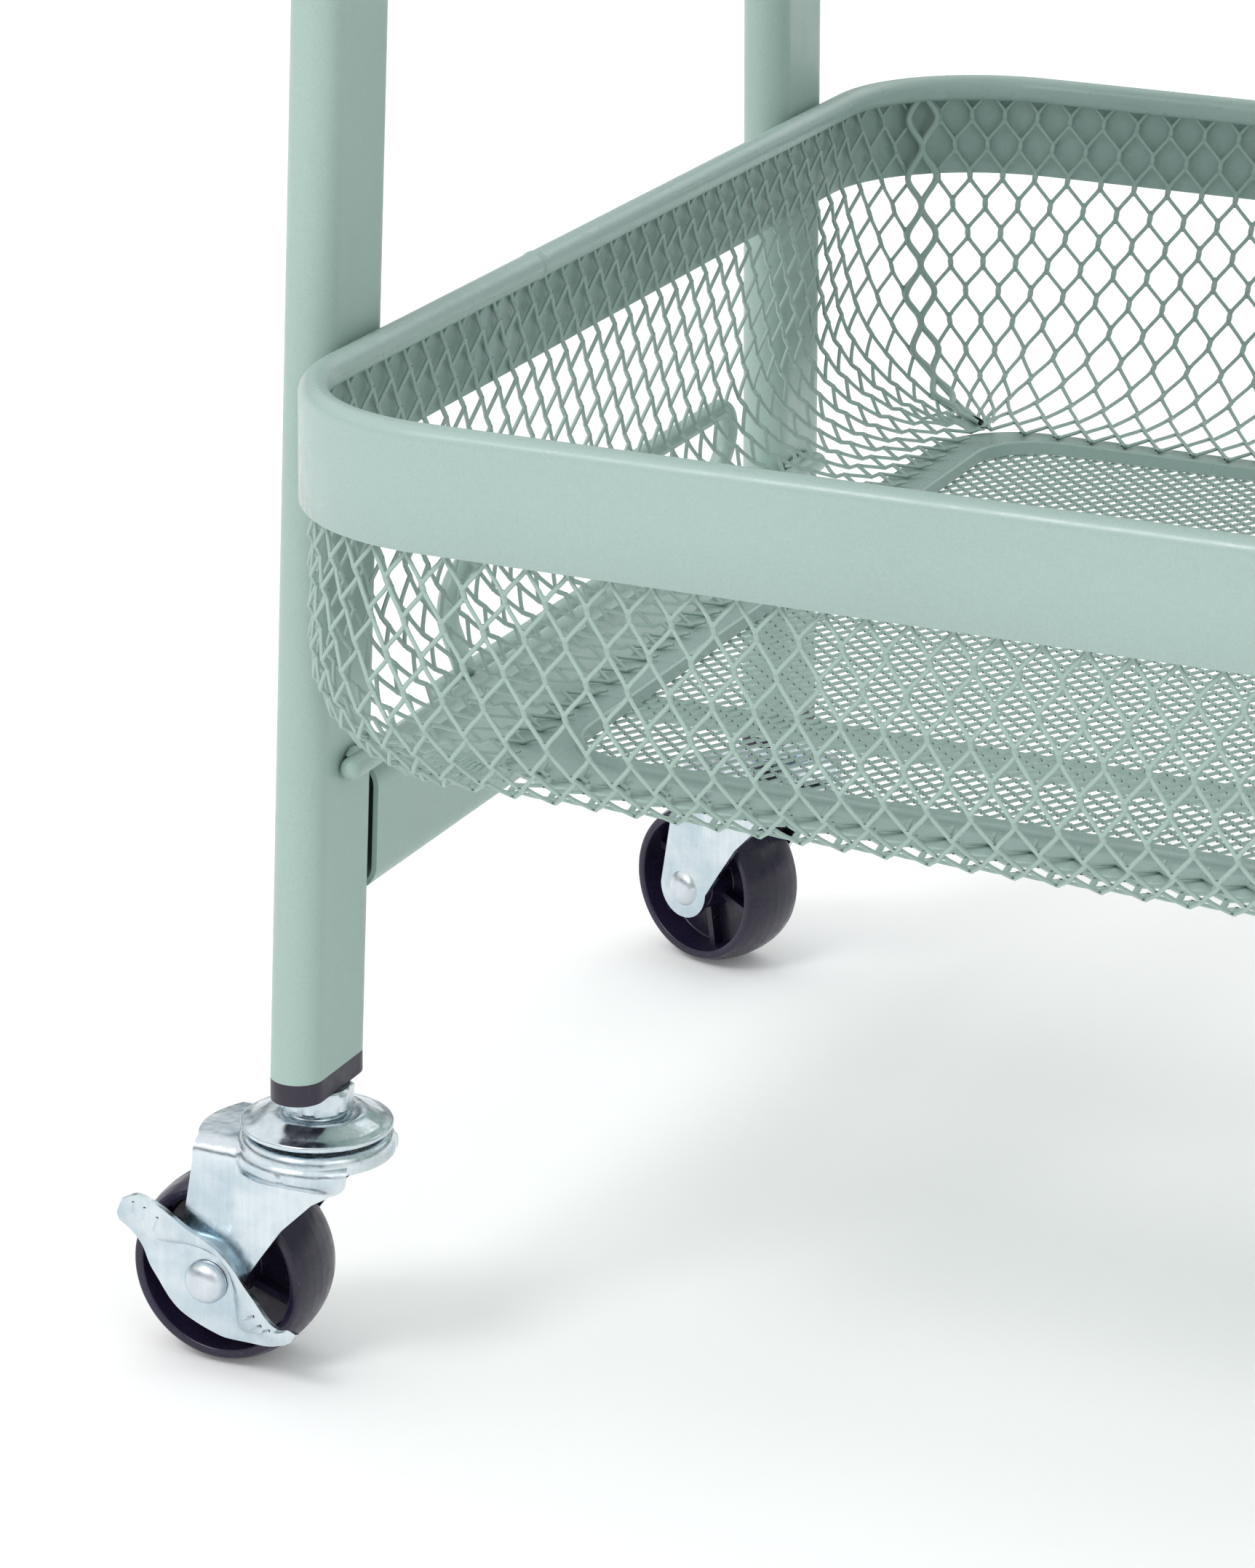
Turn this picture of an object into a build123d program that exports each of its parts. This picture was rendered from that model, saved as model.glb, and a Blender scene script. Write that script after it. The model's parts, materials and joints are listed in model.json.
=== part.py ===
from build123d import *
from math import cos, radians, sin, tan
import os

# Rolling basket trolley: two leaning arch frames of flat-oval tube carry three wire-mesh
# baskets, one above the other, on four swivel casters. The front pair has foot brakes.
# Frame: +X along the long side, +Y to the back, +Z up, origin on the floor under the middle.

# --- driving dimensions, millimetres and degrees -----------------------------------------
HEIGHT = 800.0
TIERS = ("lower", "middle", "upper")
TIER_PITCH = 255.0
SIDES = {"left": -1, "right": 1}

TUBE_WIDE = 30.0
TUBE_THIN = 12.0
TUBE_WALL = 1.2
FRAME_X = 219.0
POST_Y = 133.0
POST_FOOT_Z = 73.0
POST_LEAN = 3.0
ARCH_RADIUS = 56.0
GAP = 0.05
TRIM = 3.0

CROSSBAR_Z = 122.5
ROD_D = 5.0
STRETCHER_D = 6.0
STRETCHER_Z = 117.5
SUPPORT_ROD_Z = 142.0
SUPPORT_ROD_PAST_POST = 6.0
BASE_ROD_HALF = 75.0
LOOP_FOOT_Y = 68.0
LOOP_TOP_Y = 88.0
LOOP_FOOT_Z = 144.8
LOOP_FOOT_IN = 4.3
LOOP_TOP_Z = 170.5
LOOP_TOP_IN = 6.4
LOOP_BEND = 8.0

BASKET_X = 425.0
BASKET_Y = 372.0
BASKET_CORNER = 43.0
SMALLEST_CORNER = 8.0
RIM_TOP_Z = 236.0
BEAD_D = 6.4
BAND_TALL = 26.0
SHEET = 1.0
MESH_T = 2.0
WALL_CURVE = 28.0
BASKET_FLOOR_Z = 152.5
RING_OUTER_INSET = 36.0
RING_INNER_INSET = 51.0
RING_T = 1.2
RING_LIP = 2.4
WALL_END_INSET = 41.0
FLOOR_MESH_T = 1.0
FLOOR_MESH_INSET = 46.0
FLOOR_FIELD_T = 0.25

CAP_T = 5.0
PLUG_TALL = 24.0
PLUG_CLEAR = 0.15
STEM_D = 6.0
STEM_TALL = 18.0
STEM_CHAMFER = 0.8
HEX_ACROSS = 15.0
HEX_TALL = 5.4
NECK_D = 13.0
NECK_TALL = 1.5
PIVOT_D = 9.0
CLENCH_D = 13.4
CLENCH_T = 1.6
CUP_D = 33.7
CUP_RIM_Z = 58.2
CUP_T = 1.2
CUP_DOME_Z = 61.5
CUP_DOME_HALF = 1.5
CUP_DOME_FALL = 0.2
CUP_EDGE = 0.6
CUP_EDGE_UNDER = 0.2
CUP_RIM_FLAT = 1.8
HEAD_D = 35.0
HEAD_TOP_Z = 57.6
HEAD_T = 4.2
HEAD_SHOULDER = 1.4
TAIL_TOP_Z = 53.8
TAIL_T = 2.2
TAIL_BULGE = 3.0
RACE_R = 11.5
BALL_D = 3.2
RACE_DEEP = 1.3
RACE_SPARE = 0.4
BALL_GAP = 0.3
BALLS = 12
RUNNING = 0.05

TRAIL = 20.5
WHEEL_D = 44.0
WHEEL_W = 19.0
WHEEL_RIM = 2.6
RIM_DRAFT = 0.6
RIB_OVERLAP = 0.4
WHEEL_CROWN = 1.4
WEB_T = 3.0
RIBS = 6
RIB_T = 1.8
RIB_RECESS = 3.6
HUB_D = 14.0
BUSH_D = 8.0
BUSH_PROUD = 0.4
AXLE_D = 5.6
LEG_IN = 10.3
LEG_T = 1.5
LEG_END_R = 8.0
LEG_BACK_X = 24.0
LEG_WAIST = (1.6, 38.0)
LEG_FRONT = (-13.0, 49.8)
DIMPLE_X = 10.5
DIMPLE_Z = 42.5
DIMPLE_TALL = 15.0
DIMPLE_WIDE = 5.0
DIMPLE_T = 0.5
RIVET_HEAD_D = 9.6
RIVET_HEAD_T = 2.4
RIVET_ROUND = 0.85

LEVER_GAP = 0.15
LEVER_T = 1.4
LEVER_HUB_R = 7.8
LEVER_ARM = 17.0
LEVER_HALF_WIDE = 6.0
LEVER_CORNER = 1.0
LEVER_TAB = 8.0
TAB_ROUND = 0.4
LEVER_ANGLES = (38.0, 196.0)

CASTERS = {
    "front_left": (-FRAME_X, -POST_Y, 180.0),
    "front_right": (FRAME_X, -POST_Y, 0.0),
    "rear_left": (-FRAME_X, POST_Y, 159.5),
    "rear_right": (FRAME_X, POST_Y, 20.5),
}
BRAKED = ("front_left", "front_right")

LEAN = tan(radians(POST_LEAN))
AXLE_Z = WHEEL_D / 2
CAP_BOTTOM_Z = POST_FOOT_Z - CAP_T
HEX_BOTTOM_Z = CAP_BOTTOM_Z - GAP - HEX_TALL
HEAD_UNDER_Z = HEAD_TOP_Z - HEAD_T
BALL_Z = HEAD_TOP_Z - RACE_DEEP + BALL_GAP + BALL_D / 2
LEG_OUT = LEG_IN + LEG_T
LEVER_IN = LEG_OUT + LEVER_GAP
LEVER_OUT = LEVER_IN + LEVER_T

os.makedirs("parts", exist_ok=True)


def post_y(z):
    """Distance of a post's centreline from the middle of the trolley at height z."""
    return POST_Y - LEAN * (z - POST_FOOT_Z)


def save(piece, label, place=None):
    """Places a finished piece, names it and writes its STEP file."""
    solid = piece.part if place is None else piece.part.moved(place)
    solid.label = label
    export_step(solid, f"parts/{label}.step")


def save_all(pieces, label):
    """Writes several separate solids as one named group."""
    group = Compound(children=[solid for piece in pieces for solid in piece.solids()])
    group.label = label
    export_step(group, f"parts/{label}.step")


def round_rod(points, diameter, bend=0.0):
    """A round rod along straight runs, bent at its corners, with domed ends."""
    with BuildPart() as rod:
        with BuildLine() as path:
            if bend:
                FilletPolyline(*points, radius=bend)
            else:
                Polyline(*points)
        with BuildSketch(Plane(origin=path.line @ 0, z_dir=path.line % 0)):
            Circle(diameter / 2)
        sweep()
        with Locations(path.line @ 0, path.line @ 1):
            Sphere(diameter / 2)
    return rod


# --- frame --------------------------------------------------------------------------------
def side_frame(side):
    """A tube bent into a tall arch: two leaning posts and the handle bar over them."""
    x = side * FRAME_X
    top = HEIGHT - TUBE_WIDE / 2
    low = POST_FOOT_Z - TRIM
    with BuildPart() as frame:
        with BuildLine() as path:
            FilletPolyline(
                (x, -post_y(low), low),
                (x, -post_y(top), top),
                (x, post_y(top), top),
                (x, post_y(low), low),
                radius=ARCH_RADIUS,
            )
        start = Plane(origin=path.line @ 0, x_dir=(1, 0, 0), z_dir=path.line % 0)
        with BuildSketch(start):
            SlotOverall(TUBE_WIDE, TUBE_THIN, rotation=90)
        sweep(path=path.wire())
        with BuildSketch(start):
            SlotOverall(TUBE_WIDE - 2 * TUBE_WALL, TUBE_THIN - 2 * TUBE_WALL, rotation=90)
        sweep(path=path.wire(), mode=Mode.SUBTRACT)
        split(bisect_by=Plane.XY.offset(POST_FOOT_Z), keep=Keep.TOP)
    return frame


def crossbar(side, rise):
    """The same tube on edge between the posts, its ends cut to the posts' lean."""
    x = side * FRAME_X
    z = CROSSBAR_Z + rise
    reach = post_y(z) - TUBE_WIDE / 2 / cos(radians(POST_LEAN)) - GAP
    with BuildPart() as bar:
        with BuildSketch(Plane.XZ.offset(-post_y(z))):
            with Locations((x, z)):
                SlotOverall(TUBE_WIDE, TUBE_THIN, rotation=90)
                SlotOverall(
                    TUBE_WIDE - 2 * TUBE_WALL,
                    TUBE_THIN - 2 * TUBE_WALL,
                    rotation=90,
                    mode=Mode.SUBTRACT,
                )
        extrude(amount=2 * post_y(z))
        for end in (-1, 1):
            cut = Plane(origin=(x, end * reach, z), z_dir=(0, end, LEAN))
            split(bisect_by=cut, keep=Keep.BOTTOM)
    return bar


def support_rod(side, rise):
    """The straight rod across the posts' inner faces, just over the crossbar."""
    x = side * (FRAME_X - TUBE_THIN / 2 - ROD_D / 2 - GAP)
    z = SUPPORT_ROD_Z + rise
    half = post_y(z) + SUPPORT_ROD_PAST_POST - ROD_D / 2
    return round_rod([(x, -half, z), (x, half, z)], ROD_D)


def base_rod(side, rise):
    """The short rod along the crossbar's top edge that carries the hanger loop."""
    x = side * FRAME_X
    z = CROSSBAR_Z + TUBE_WIDE / 2 + ROD_D / 2 + GAP + rise
    half = BASE_ROD_HALF - ROD_D / 2
    return round_rod([(x, -half, z), (x, half, z)], ROD_D)


def hanger_loop(side, rise):
    """The bent rod between the two straight ones, which the basket's curved edge rests on."""
    foot_x = side * (FRAME_X - LOOP_FOOT_IN)
    top_x = side * (FRAME_X - LOOP_TOP_IN)
    foot_z = LOOP_FOOT_Z + rise
    top_z = LOOP_TOP_Z + rise
    points = [
        (foot_x, -LOOP_FOOT_Y, foot_z),
        (top_x, -LOOP_TOP_Y, top_z),
        (top_x, LOOP_TOP_Y, top_z),
        (foot_x, LOOP_FOOT_Y, foot_z),
    ]
    return round_rod(points, ROD_D, LOOP_BEND)


for name, side in SIDES.items():
    save(side_frame(side), f"side_frame_{name}")
    for level, tier in enumerate(TIERS):
        save(crossbar(side, level * TIER_PITCH), f"crossbar_{name}_{tier}")
        save(support_rod(side, level * TIER_PITCH), f"support_rod_{name}_{tier}")
        save(hanger_loop(side, level * TIER_PITCH), f"hanger_loop_{name}_{tier}")

base_rods = [
    base_rod(side, level * TIER_PITCH).part for side in SIDES.values() for level in range(len(TIERS))
]
save_all(base_rods, "hanger_base_rods")

stretcher_end = FRAME_X - TUBE_THIN / 2 - GAP
with BuildPart() as stretcher:
    with BuildSketch(Plane.YZ.offset(-stretcher_end)):
        with Locations((0, STRETCHER_Z)):
            Circle(STRETCHER_D / 2)
    extrude(amount=2 * stretcher_end)
save(stretcher, "stretcher_rod")


# --- baskets ------------------------------------------------------------------------------
def basket_outline(inset, mode=Mode.ADD):
    """Adds the basket's rounded plan outline, shrunk by an inset on every side."""
    corner = max(BASKET_CORNER - inset, SMALLEST_CORNER)
    RectangleRounded(BASKET_X - 2 * inset, BASKET_Y - 2 * inset, corner, mode=mode)


def basket_band(rise):
    """The solid sheet band round the top, with its rolled edge bead."""
    z = RIM_TOP_Z + rise
    with BuildPart() as band:
        with BuildSketch(Plane.XY.offset(z - BAND_TALL)):
            basket_outline(0)
            basket_outline(SHEET, Mode.SUBTRACT)
        extrude(amount=BAND_TALL - BEAD_D / 2)
        with BuildSketch(Plane.XY.offset(z - BEAD_D / 2), mode=Mode.PRIVATE) as centre:
            basket_outline(BEAD_D / 2)
        path = centre.sketch.face().outer_wire()
        with BuildSketch(Plane(origin=path @ 0, z_dir=path % 0)):
            Circle(BEAD_D / 2)
        sweep(path=path)
    return band


def wall_solid(inset, floor_z, top_z, curve):
    """A closed tub with rounded corners and a curved bottom edge."""
    with BuildPart() as tub:
        with BuildSketch(Plane.XY.offset(floor_z)):
            basket_outline(inset)
        extrude(amount=top_z - floor_z)
        fillet(tub.faces().sort_by(Axis.Z)[0].edges(), radius=curve)
    return tub.part


def basket_wall(rise):
    """The mesh side: upright, then curved inwards under the basket, open in the middle."""
    floor_z = BASKET_FLOOR_Z + rise
    top_z = RIM_TOP_Z - BEAD_D + rise - GAP
    outer = SHEET + GAP
    shell = wall_solid(outer, floor_z, top_z, WALL_CURVE)
    hollow = wall_solid(outer + MESH_T, floor_z + MESH_T, top_z + TRIM, WALL_CURVE - MESH_T)
    with BuildPart() as wall:
        add(shell)
        add(hollow, mode=Mode.SUBTRACT)
        with BuildSketch(Plane.XY.offset(floor_z - TRIM)):
            basket_outline(WALL_END_INSET)
        extrude(amount=MESH_T + 2 * TRIM, mode=Mode.SUBTRACT)
    return wall


def basket_floor_ring(rise):
    """The flat ring under the wall's inner edge, with a low lip round its opening."""
    top_z = BASKET_FLOOR_Z + rise - GAP
    with BuildPart() as ring:
        with BuildSketch(Plane.XY.offset(top_z - RING_T)):
            basket_outline(RING_OUTER_INSET)
        extrude(amount=RING_T)
        with BuildSketch(Plane.XY.offset(top_z)):
            basket_outline(RING_INNER_INSET - RING_T)
        extrude(amount=RING_LIP)
        with BuildSketch(Plane.XY.offset(top_z - RING_T)):
            basket_outline(RING_INNER_INSET)
        extrude(amount=RING_T + RING_LIP, mode=Mode.SUBTRACT)
    return ring


def basket_floor_mesh(rise):
    """The fine mesh sheet spot-welded under the ring, pressed up a little inside its opening."""
    top_z = BASKET_FLOOR_Z + rise - RING_T - 2 * GAP
    with BuildPart() as sheet:
        with BuildSketch(Plane.XY.offset(top_z - FLOOR_MESH_T)):
            basket_outline(FLOOR_MESH_INSET)
        extrude(amount=FLOOR_MESH_T)
        with BuildSketch(Plane.XY.offset(top_z)):
            basket_outline(RING_INNER_INSET + GAP)
        extrude(amount=FLOOR_FIELD_T)
    return sheet


for level, tier in enumerate(TIERS):
    rise = level * TIER_PITCH
    save(basket_band(rise), f"basket_band_{tier}")
    save(basket_wall(rise), f"basket_wall_{tier}")
    save(basket_floor_ring(rise), f"basket_floor_ring_{tier}")
    save(basket_floor_mesh(rise), f"basket_floor_mesh_{tier}")


# --- feet of the posts --------------------------------------------------------------------
def end_cap(x, y):
    """A plastic plug in the tube's end with a flange under it and a bore for the stem."""
    lean = Vector(0, -LEAN if y > 0 else LEAN, 1).normalized()
    inner = 2 * (TUBE_WALL + PLUG_CLEAR)
    with BuildPart() as cap:
        with BuildSketch(Plane.XY.offset(CAP_BOTTOM_Z)):
            with Locations((x, y)):
                SlotOverall(TUBE_WIDE, TUBE_THIN, rotation=90)
        extrude(amount=CAP_T - GAP)
        with BuildSketch(Plane.XY.offset(POST_FOOT_Z - GAP)):
            with Locations((x, y)):
                SlotOverall(TUBE_WIDE - inner, TUBE_THIN - inner, rotation=90)
        extrude(amount=PLUG_TALL, dir=lean)
        with BuildSketch(Plane.XY.offset(CAP_BOTTOM_Z)):
            with Locations((x, y)):
                Circle(STEM_D / 2 + RUNNING)
        extrude(amount=STEM_TALL + TRIM, mode=Mode.SUBTRACT)
    return cap


save_all([end_cap(x, y).part for x, y, turn in CASTERS.values()], "post_end_caps")


# --- casters, each drawn with its stem on the Z axis and its wheel trailing along +X -------
def caster_stem():
    """Threaded stem, hexagon, neck and the riveted pivot that the fork turns on."""
    pivot_bottom = HEAD_UNDER_Z - RUNNING
    with BuildPart() as stem:
        with BuildSketch(Plane.XY.offset(pivot_bottom)):
            Circle(PIVOT_D / 2)
        extrude(amount=HEX_BOTTOM_Z - pivot_bottom)
        with BuildSketch(Plane.XY.offset(pivot_bottom - CLENCH_T)):
            Circle(CLENCH_D / 2)
        extrude(amount=CLENCH_T)
        with BuildSketch(Plane.XY.offset(HEX_BOTTOM_Z - NECK_TALL)):
            Circle(NECK_D / 2)
        extrude(amount=NECK_TALL)
        with BuildSketch(Plane.XY.offset(HEX_BOTTOM_Z)):
            RegularPolygon(HEX_ACROSS / 2, 6, major_radius=False)
        extrude(amount=HEX_TALL)
        with BuildSketch(Plane.XY.offset(CAP_BOTTOM_Z - GAP)):
            Circle(STEM_D / 2)
        extrude(amount=STEM_TALL)
        chamfer(stem.edges().sort_by(Axis.Z)[-1], length=STEM_CHAMFER)
    return stem


def caster_top_cup():
    """The dished race plate riveted under the stem's neck, over the balls."""
    top = HEX_BOTTOM_Z - NECK_TALL - GAP
    bore = PIVOT_D / 2 + GAP
    rim = CUP_D / 2
    under = BALL_Z + BALL_D / 2 + GAP
    with BuildPart() as cup:
        with BuildSketch(Plane.XZ):
            Polygon(
                (bore, top),
                (NECK_D / 2 + CUP_DOME_HALF, top),
                (RACE_R - CUP_DOME_HALF, CUP_DOME_Z),
                (RACE_R + CUP_DOME_HALF, CUP_DOME_Z - CUP_DOME_FALL),
                (rim - CUP_EDGE, CUP_RIM_Z + CUP_T),
                (rim, CUP_RIM_Z + CUP_T / 2),
                (rim - CUP_EDGE_UNDER, CUP_RIM_Z),
                (rim - CUP_RIM_FLAT, CUP_RIM_Z),
                (RACE_R + BALL_D / 2 + CUP_EDGE, under),
                (bore, under),
                align=None,
            )
        revolve(axis=Axis.Z)
    return cup


def ball_ring():
    """The loose balls between the cup and the fork's head."""
    with BuildPart() as balls:
        with Locations((0, 0, BALL_Z)):
            with PolarLocations(RACE_R, BALLS):
                Sphere(BALL_D / 2)
    return balls


def caster_fork():
    """The pressed fork: race head, the lower tail plate over the wheel, and two legs."""
    leg_back = TRAIL + LEG_END_R
    leg_top = TAIL_TOP_Z - TAIL_T / 2
    half_groove = BALL_D / 2 + RACE_SPARE
    with BuildPart() as fork:
        with BuildSketch(Plane.XY.offset(HEAD_UNDER_Z)):
            Circle(HEAD_D / 2)
        extrude(amount=HEAD_T)
        fillet(fork.edges().group_by(Axis.Z)[-1], radius=HEAD_SHOULDER)
        with BuildSketch(Plane.XY.offset(TAIL_TOP_Z - TAIL_T)):
            Circle(HEAD_D / 2 - HEAD_SHOULDER)
            with BuildLine():
                Polyline((LEG_BACK_X, -LEG_OUT), (0, -LEG_OUT), (0, LEG_OUT), (LEG_BACK_X, LEG_OUT))
                ThreePointArc(
                    (LEG_BACK_X, LEG_OUT), (LEG_BACK_X + TAIL_BULGE, 0), (LEG_BACK_X, -LEG_OUT)
                )
            make_face()
        extrude(amount=TAIL_T)
        with BuildSketch(Plane.XY.offset(HEAD_TOP_Z - RACE_DEEP)):
            Circle(RACE_R + half_groove)
            Circle(RACE_R - half_groove, mode=Mode.SUBTRACT)
        extrude(amount=RACE_DEEP, mode=Mode.SUBTRACT)
        with BuildSketch(Plane.XY.offset(TAIL_TOP_Z - TAIL_T)):
            Circle(PIVOT_D / 2 + RUNNING)
        extrude(amount=HEAD_TOP_Z - TAIL_TOP_Z + TAIL_T, mode=Mode.SUBTRACT)
        with BuildSketch(Plane.XY.offset(TAIL_TOP_Z - TAIL_T)):
            Circle(CLENCH_D / 2 + BALL_GAP)
        extrude(amount=HEAD_UNDER_Z - TAIL_TOP_Z + TAIL_T, mode=Mode.SUBTRACT)
        for side in (-1, 1):
            with BuildSketch(Plane.XZ.offset(-side * LEG_IN)):
                with BuildLine():
                    Line((LEG_BACK_X, leg_top), (leg_back, AXLE_Z))
                    ThreePointArc(
                        (leg_back, AXLE_Z),
                        (TRAIL, AXLE_Z - LEG_END_R),
                        (TRAIL - LEG_END_R, AXLE_Z),
                    )
                    ThreePointArc((TRAIL - LEG_END_R, AXLE_Z), LEG_WAIST, LEG_FRONT)
                    Polyline(LEG_FRONT, (LEG_FRONT[0], leg_top), (LEG_BACK_X, leg_top))
                make_face()
            extrude(amount=-side * LEG_T)
            with BuildSketch(Plane.XZ.offset(-side * LEG_OUT)):
                with Locations((DIMPLE_X, DIMPLE_Z)):
                    SlotOverall(DIMPLE_TALL, DIMPLE_WIDE, rotation=90)
            extrude(amount=-side * DIMPLE_T)
        with BuildSketch(Plane.XZ.offset(-LEG_OUT)):
            with Locations((TRAIL, AXLE_Z)):
                Circle(AXLE_D / 2 + GAP)
        extrude(amount=2 * LEG_OUT, mode=Mode.SUBTRACT)
    return fork


def axle_rivet(braked):
    """The axle, riveted over at both ends; longer on the lever's side."""
    lever_side = LEVER_OUT + RUNNING if braked else LEG_OUT + GAP
    plain_side = LEG_OUT + GAP
    with BuildPart() as rivet:
        with BuildSketch(Plane.XZ.offset(-lever_side)):
            with Locations((TRAIL, AXLE_Z)):
                Circle(AXLE_D / 2)
        extrude(amount=lever_side + plain_side)
        for y, out in ((lever_side, 1), (-plain_side, -1)):
            with BuildSketch(Plane.XZ.offset(-y)):
                with Locations((TRAIL, AXLE_Z)):
                    Circle(RIVET_HEAD_D / 2)
            extrude(amount=-out * RIVET_HEAD_T)
        ends = rivet.faces().filter_by(Axis.Y).sort_by(Axis.Y)
        fillet(ends[0].edges() + ends[-1].edges(), radius=RIVET_HEAD_T * RIVET_ROUND)
    return rivet


def caster_wheel():
    """One-piece moulded wheel: crowned tread, web, hub and ribs set in from both faces."""
    half = WHEEL_W / 2
    outer = WHEEL_D / 2
    with BuildPart() as wheel:
        with BuildSketch(Plane.YZ):
            with BuildLine():
                tread = ThreePointArc(
                    (-half, outer - WHEEL_CROWN), (0, outer), (half, outer - WHEEL_CROWN)
                )
                Polyline(
                    tread @ 1,
                    (half, outer - WHEEL_RIM),
                    (WEB_T / 2, outer - WHEEL_RIM - RIM_DRAFT),
                    (WEB_T / 2, HUB_D / 2),
                    (half, HUB_D / 2),
                    (half, BUSH_D / 2 + GAP),
                    (-half, BUSH_D / 2 + GAP),
                    (-half, HUB_D / 2),
                    (-WEB_T / 2, HUB_D / 2),
                    (-WEB_T / 2, outer - WHEEL_RIM - RIM_DRAFT),
                    (-half, outer - WHEEL_RIM),
                    tread @ 0,
                )
            make_face()
        revolve(axis=Axis.Y)
        rib_in = HUB_D / 2 - RIB_OVERLAP
        rib_out = outer - WHEEL_RIM
        with BuildSketch(Plane.XZ.offset(-half + RIB_RECESS)):
            with PolarLocations((rib_in + rib_out) / 2, RIBS):
                Rectangle(rib_out - rib_in, RIB_T)
        extrude(amount=WHEEL_W - 2 * RIB_RECESS)
    return wheel


def wheel_bush():
    """The steel tube in the hub that the axle runs through."""
    half = WHEEL_W / 2 + BUSH_PROUD
    with BuildPart() as bush:
        with BuildSketch(Plane.XZ.offset(-half)):
            Circle(BUSH_D / 2)
            Circle(AXLE_D / 2 + RUNNING, mode=Mode.SUBTRACT)
        extrude(amount=2 * half)
    return bush


def brake_lever():
    """The rocking foot lever: a plate on the axle with a press tab flared out at each end."""
    corner_in = LEVER_HALF_WIDE - LEVER_CORNER
    with BuildPart() as lever:
        for angle in LEVER_ANGLES:
            plate = Plane(
                origin=(TRAIL, LEVER_IN, AXLE_Z),
                x_dir=(cos(radians(angle)), 0, sin(radians(angle))),
                z_dir=(0, 1, 0),
            )
            with BuildSketch(plate):
                Circle(LEVER_HUB_R)
                with Locations((LEVER_ARM, -corner_in), (LEVER_ARM, corner_in)):
                    Circle(LEVER_CORNER)
                make_hull()
            extrude(amount=LEVER_T)
            tab = Plane(
                origin=plate.from_local_coords((LEVER_ARM, 0, LEVER_T / 2)),
                x_dir=plate.y_dir,
                z_dir=plate.x_dir + plate.z_dir,
            )
            with BuildSketch(tab):
                RectangleRounded(2 * LEVER_HALF_WIDE, LEVER_T, LEVER_T * TAB_ROUND)
            extrude(amount=LEVER_TAB)
        with BuildSketch(Plane.XZ.offset(-LEVER_IN)):
            with Locations((TRAIL, AXLE_Z)):
                Circle(AXLE_D / 2 + RUNNING)
        extrude(amount=-LEVER_T, mode=Mode.SUBTRACT)
    return lever


stems, cups, balls = [], [], []
on_axle = Location((TRAIL, 0, AXLE_Z))
for name, (x, y, turn) in CASTERS.items():
    place = Location((x, y, 0), (0, 0, turn))
    stems.append(caster_stem().part.moved(place))
    cups.append(caster_top_cup().part.moved(place))
    balls.append(ball_ring().part.moved(place))
    save(caster_fork(), f"caster_fork_{name}", place)
    save(axle_rivet(name in BRAKED), f"axle_rivet_{name}", place)
    save(caster_wheel(), f"wheel_{name}", place * on_axle)
    save(wheel_bush(), f"wheel_bush_{name}", place * on_axle)
    if name in BRAKED:
        save(brake_lever(), f"brake_lever_{name}", place)
save_all(stems, "caster_stems")
save_all(cups, "caster_top_cups")
save_all(balls, "caster_balls")
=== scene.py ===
import json
import math

import bpy
import numpy as np
from mathutils import Matrix, Vector


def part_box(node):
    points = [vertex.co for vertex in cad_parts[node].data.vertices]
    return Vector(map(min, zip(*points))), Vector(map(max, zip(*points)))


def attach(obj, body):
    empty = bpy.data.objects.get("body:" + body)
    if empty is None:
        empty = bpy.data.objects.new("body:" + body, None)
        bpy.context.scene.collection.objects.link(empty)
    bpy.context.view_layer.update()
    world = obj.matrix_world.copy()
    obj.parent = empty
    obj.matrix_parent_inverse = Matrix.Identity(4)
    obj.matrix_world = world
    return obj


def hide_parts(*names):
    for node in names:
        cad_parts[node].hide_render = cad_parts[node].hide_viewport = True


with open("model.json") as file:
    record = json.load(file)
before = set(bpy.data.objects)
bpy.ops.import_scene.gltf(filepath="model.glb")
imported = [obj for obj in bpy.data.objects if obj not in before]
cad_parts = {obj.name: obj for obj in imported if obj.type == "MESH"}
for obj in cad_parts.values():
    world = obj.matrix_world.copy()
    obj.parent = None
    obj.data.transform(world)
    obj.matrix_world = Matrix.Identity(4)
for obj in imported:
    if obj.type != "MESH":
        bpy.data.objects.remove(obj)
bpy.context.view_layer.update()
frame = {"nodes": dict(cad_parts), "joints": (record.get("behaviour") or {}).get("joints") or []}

MM = 0.001  # shapes are written in millimetres, and the scene is in metres
TIERS = ("lower", "middle", "upper")


# ---- materials ---------------------------------------------------------------------------
NOISE_LOW, NOISE_HIGH = 0.3, 0.7  # most of a noise texture lies between these


def new_material(name):
    """A node material: itself, its tree, its shader and the piece's own coordinates."""
    material = bpy.data.materials.new(name)
    material.use_nodes = True
    tree = material.node_tree
    shader = tree.nodes["Principled BSDF"]
    place = tree.nodes.new("ShaderNodeTexCoord").outputs["Object"]
    return material, tree, shader, place


def noise(tree, vector, scale, detail=2.0, stretch=(1, 1, 1)):
    """Noise of that many lumps to the metre, stretched along an axis if asked."""
    mapping = tree.nodes.new("ShaderNodeMapping")
    mapping.inputs["Scale"].default_value = stretch
    tree.links.new(vector, mapping.inputs["Vector"])
    texture = tree.nodes.new("ShaderNodeTexNoise")
    texture.inputs["Scale"].default_value = scale
    texture.inputs["Detail"].default_value = detail
    tree.links.new(mapping.outputs["Vector"], texture.inputs["Vector"])
    return texture.outputs["Fac"]


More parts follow.
